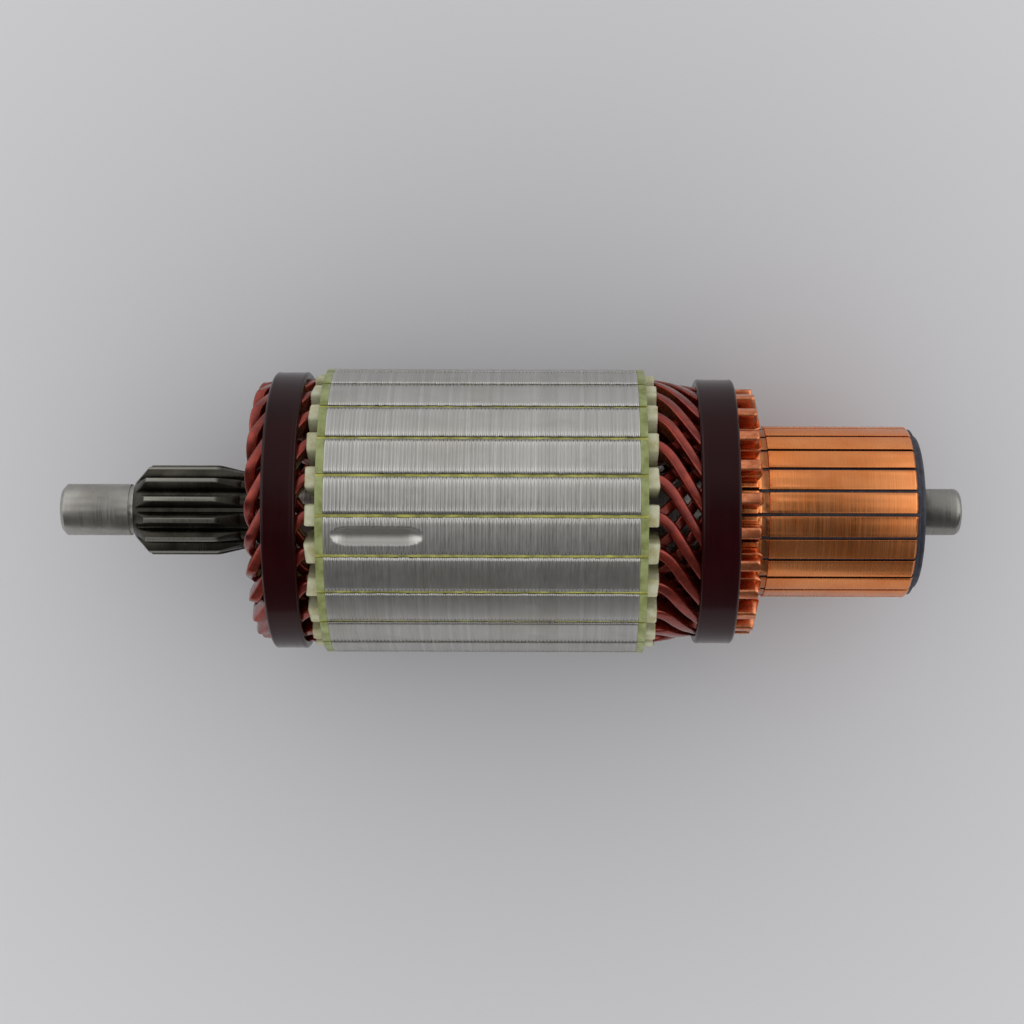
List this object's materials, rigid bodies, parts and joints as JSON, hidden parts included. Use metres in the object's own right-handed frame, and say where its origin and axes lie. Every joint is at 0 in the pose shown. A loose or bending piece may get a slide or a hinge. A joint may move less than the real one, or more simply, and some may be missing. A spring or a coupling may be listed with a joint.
{
  "type": "motor armature",
  "caption": "Slotted armature of a gear-reduction starter motor: shaft with integral sun gear, laminated core, hairpin coils held by two bands, and a barrel commutator.",
  "frame": {"origin": "on the shaft axis, half-way along the shaft's overall length", "axes": "+X along the shaft from the sun gear towards the commutator; +Y and +Z across it, with the first slot 2.1 degrees from +Z towards -Y"},
  "size_m": [0.2568, 0.081, 0.081],
  "materials": {
    "shaft_steel": "ground journals, dark oiled gear",
    "core_steel": "stacked sheet steel, thinly varnished",
    "end_disc_laminate": "yellow-green glass laminate",
    "slot_paper": "folded slot paper",
    "slot_wedge_laminate": "yellow-green glass laminate",
    "enamelled_copper": "red-brown enamel over copper bar, bare at the ends",
    "commutator_copper": "turned copper",
    "moulding_resin": "dark blue-grey moulded resin",
    "bush_steel": "turned",
    "band_glass_resin": "dark red glossy resin-bonded glass fibre",
    "sleeve_laminate": "dark insulating sleeve"
  },
  "bodies": {
    "root": {"shaft": "shaft_steel", "lamination_stack": "core_steel", "pinion_end_disc": "end_disc_laminate", "commutator_end_disc": "end_disc_laminate", "slot_liners": "slot_paper", "slot_wedges": "slot_wedge_laminate", "coil_01": "enamelled_copper", "coil_02": "enamelled_copper", "coil_03": "enamelled_copper", "coil_04": "enamelled_copper", "coil_05": "enamelled_copper", "coil_06": "enamelled_copper", "coil_07": "enamelled_copper", "coil_08": "enamelled_copper", "coil_09": "enamelled_copper", "coil_10": "enamelled_copper", "coil_11": "enamelled_copper", "coil_12": "enamelled_copper", "coil_13": "enamelled_copper", "coil_14": "enamelled_copper", "coil_15": "enamelled_copper", "coil_16": "enamelled_copper", "coil_17": "enamelled_copper", "coil_18": "enamelled_copper", "coil_19": "enamelled_copper", "coil_20": "enamelled_copper", "coil_21": "enamelled_copper", "coil_22": "enamelled_copper", "coil_23": "enamelled_copper", "bar_01": "commutator_copper", "bar_02": "commutator_copper", "bar_03": "commutator_copper", "bar_04": "commutator_copper", "bar_05": "commutator_copper", "bar_06": "commutator_copper", "bar_07": "commutator_copper", "bar_08": "commutator_copper", "bar_09": "commutator_copper", "bar_10": "commutator_copper", "bar_11": "commutator_copper", "bar_12": "commutator_copper", "bar_13": "commutator_copper", "bar_14": "commutator_copper", "bar_15": "commutator_copper", "bar_16": "commutator_copper", "bar_17": "commutator_copper", "bar_18": "commutator_copper", "bar_19": "commutator_copper", "bar_20": "commutator_copper", "bar_21": "commutator_copper", "bar_22": "commutator_copper", "bar_23": "commutator_copper", "commutator_moulding": "moulding_resin", "commutator_bush": "bush_steel", "pinion_band": "band_glass_resin", "commutator_band": "band_glass_resin", "pinion_sleeve": "sleeve_laminate", "commutator_sleeve": "sleeve_laminate"}
  },
  "joints": []
}
